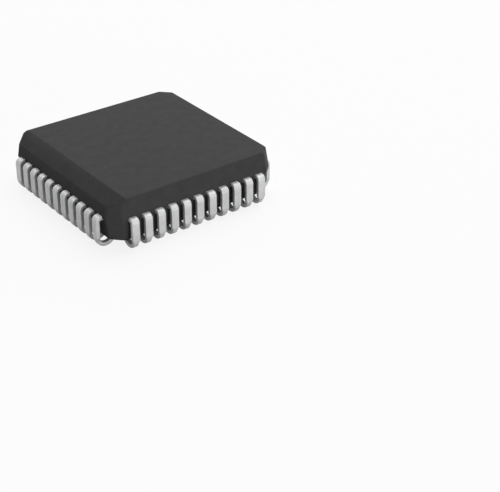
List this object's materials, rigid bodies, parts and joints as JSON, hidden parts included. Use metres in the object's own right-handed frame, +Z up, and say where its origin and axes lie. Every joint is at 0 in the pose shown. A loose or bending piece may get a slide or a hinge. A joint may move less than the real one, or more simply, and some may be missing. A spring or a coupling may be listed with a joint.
{
  "type": "plastic leaded chip carrier",
  "caption": "Square moulded chip package with corner cuts, a bevelled pin 1 side and rows of J-shaped leads that curl under all four sides for socket or surface mounting.",
  "frame": {"origin": "centre of the seating plane that the hooks of the leads touch", "axes": "+Z up through the top face, -X towards the bevelled side whose middle lead is pin 1, pins counting up anticlockwise seen from above"},
  "size_m": [0.0176, 0.0176, 0.0046],
  "materials": {
    "mould": "dark grey moulded epoxy, fine grained and matte",
    "lead": "matte tin plating on copper alloy sheet",
    "pad": "bare copper alloy sheet",
    "adhesive": "cured silver-filled epoxy",
    "silicon": "polished silicon, dark metallic grey",
    "wire": "drawn gold wire"
  },
  "bodies": {
    "root": {"mould_body": "mould", "die_pad": "pad", "die_attach": "adhesive", "die": "silicon", "bond_wires": "wire", "lead_01": "lead", "lead_02": "lead", "lead_03": "lead", "lead_04": "lead", "lead_05": "lead", "lead_06": "lead", "lead_07": "lead", "lead_08": "lead", "lead_09": "lead", "lead_10": "lead", "lead_11": "lead", "lead_12": "lead", "lead_13": "lead", "lead_14": "lead", "lead_15": "lead", "lead_16": "lead", "lead_17": "lead", "lead_18": "lead", "lead_19": "lead", "lead_20": "lead", "lead_21": "lead", "lead_22": "lead", "lead_23": "lead", "lead_24": "lead", "lead_25": "lead", "lead_26": "lead", "lead_27": "lead", "lead_28": "lead", "lead_29": "lead", "lead_30": "lead", "lead_31": "lead", "lead_32": "lead", "lead_33": "lead", "lead_34": "lead", "lead_35": "lead", "lead_36": "lead", "lead_37": "lead", "lead_38": "lead", "lead_39": "lead", "lead_40": "lead", "lead_41": "lead", "lead_42": "lead", "lead_43": "lead", "lead_44": "lead"}
  },
  "joints": []
}
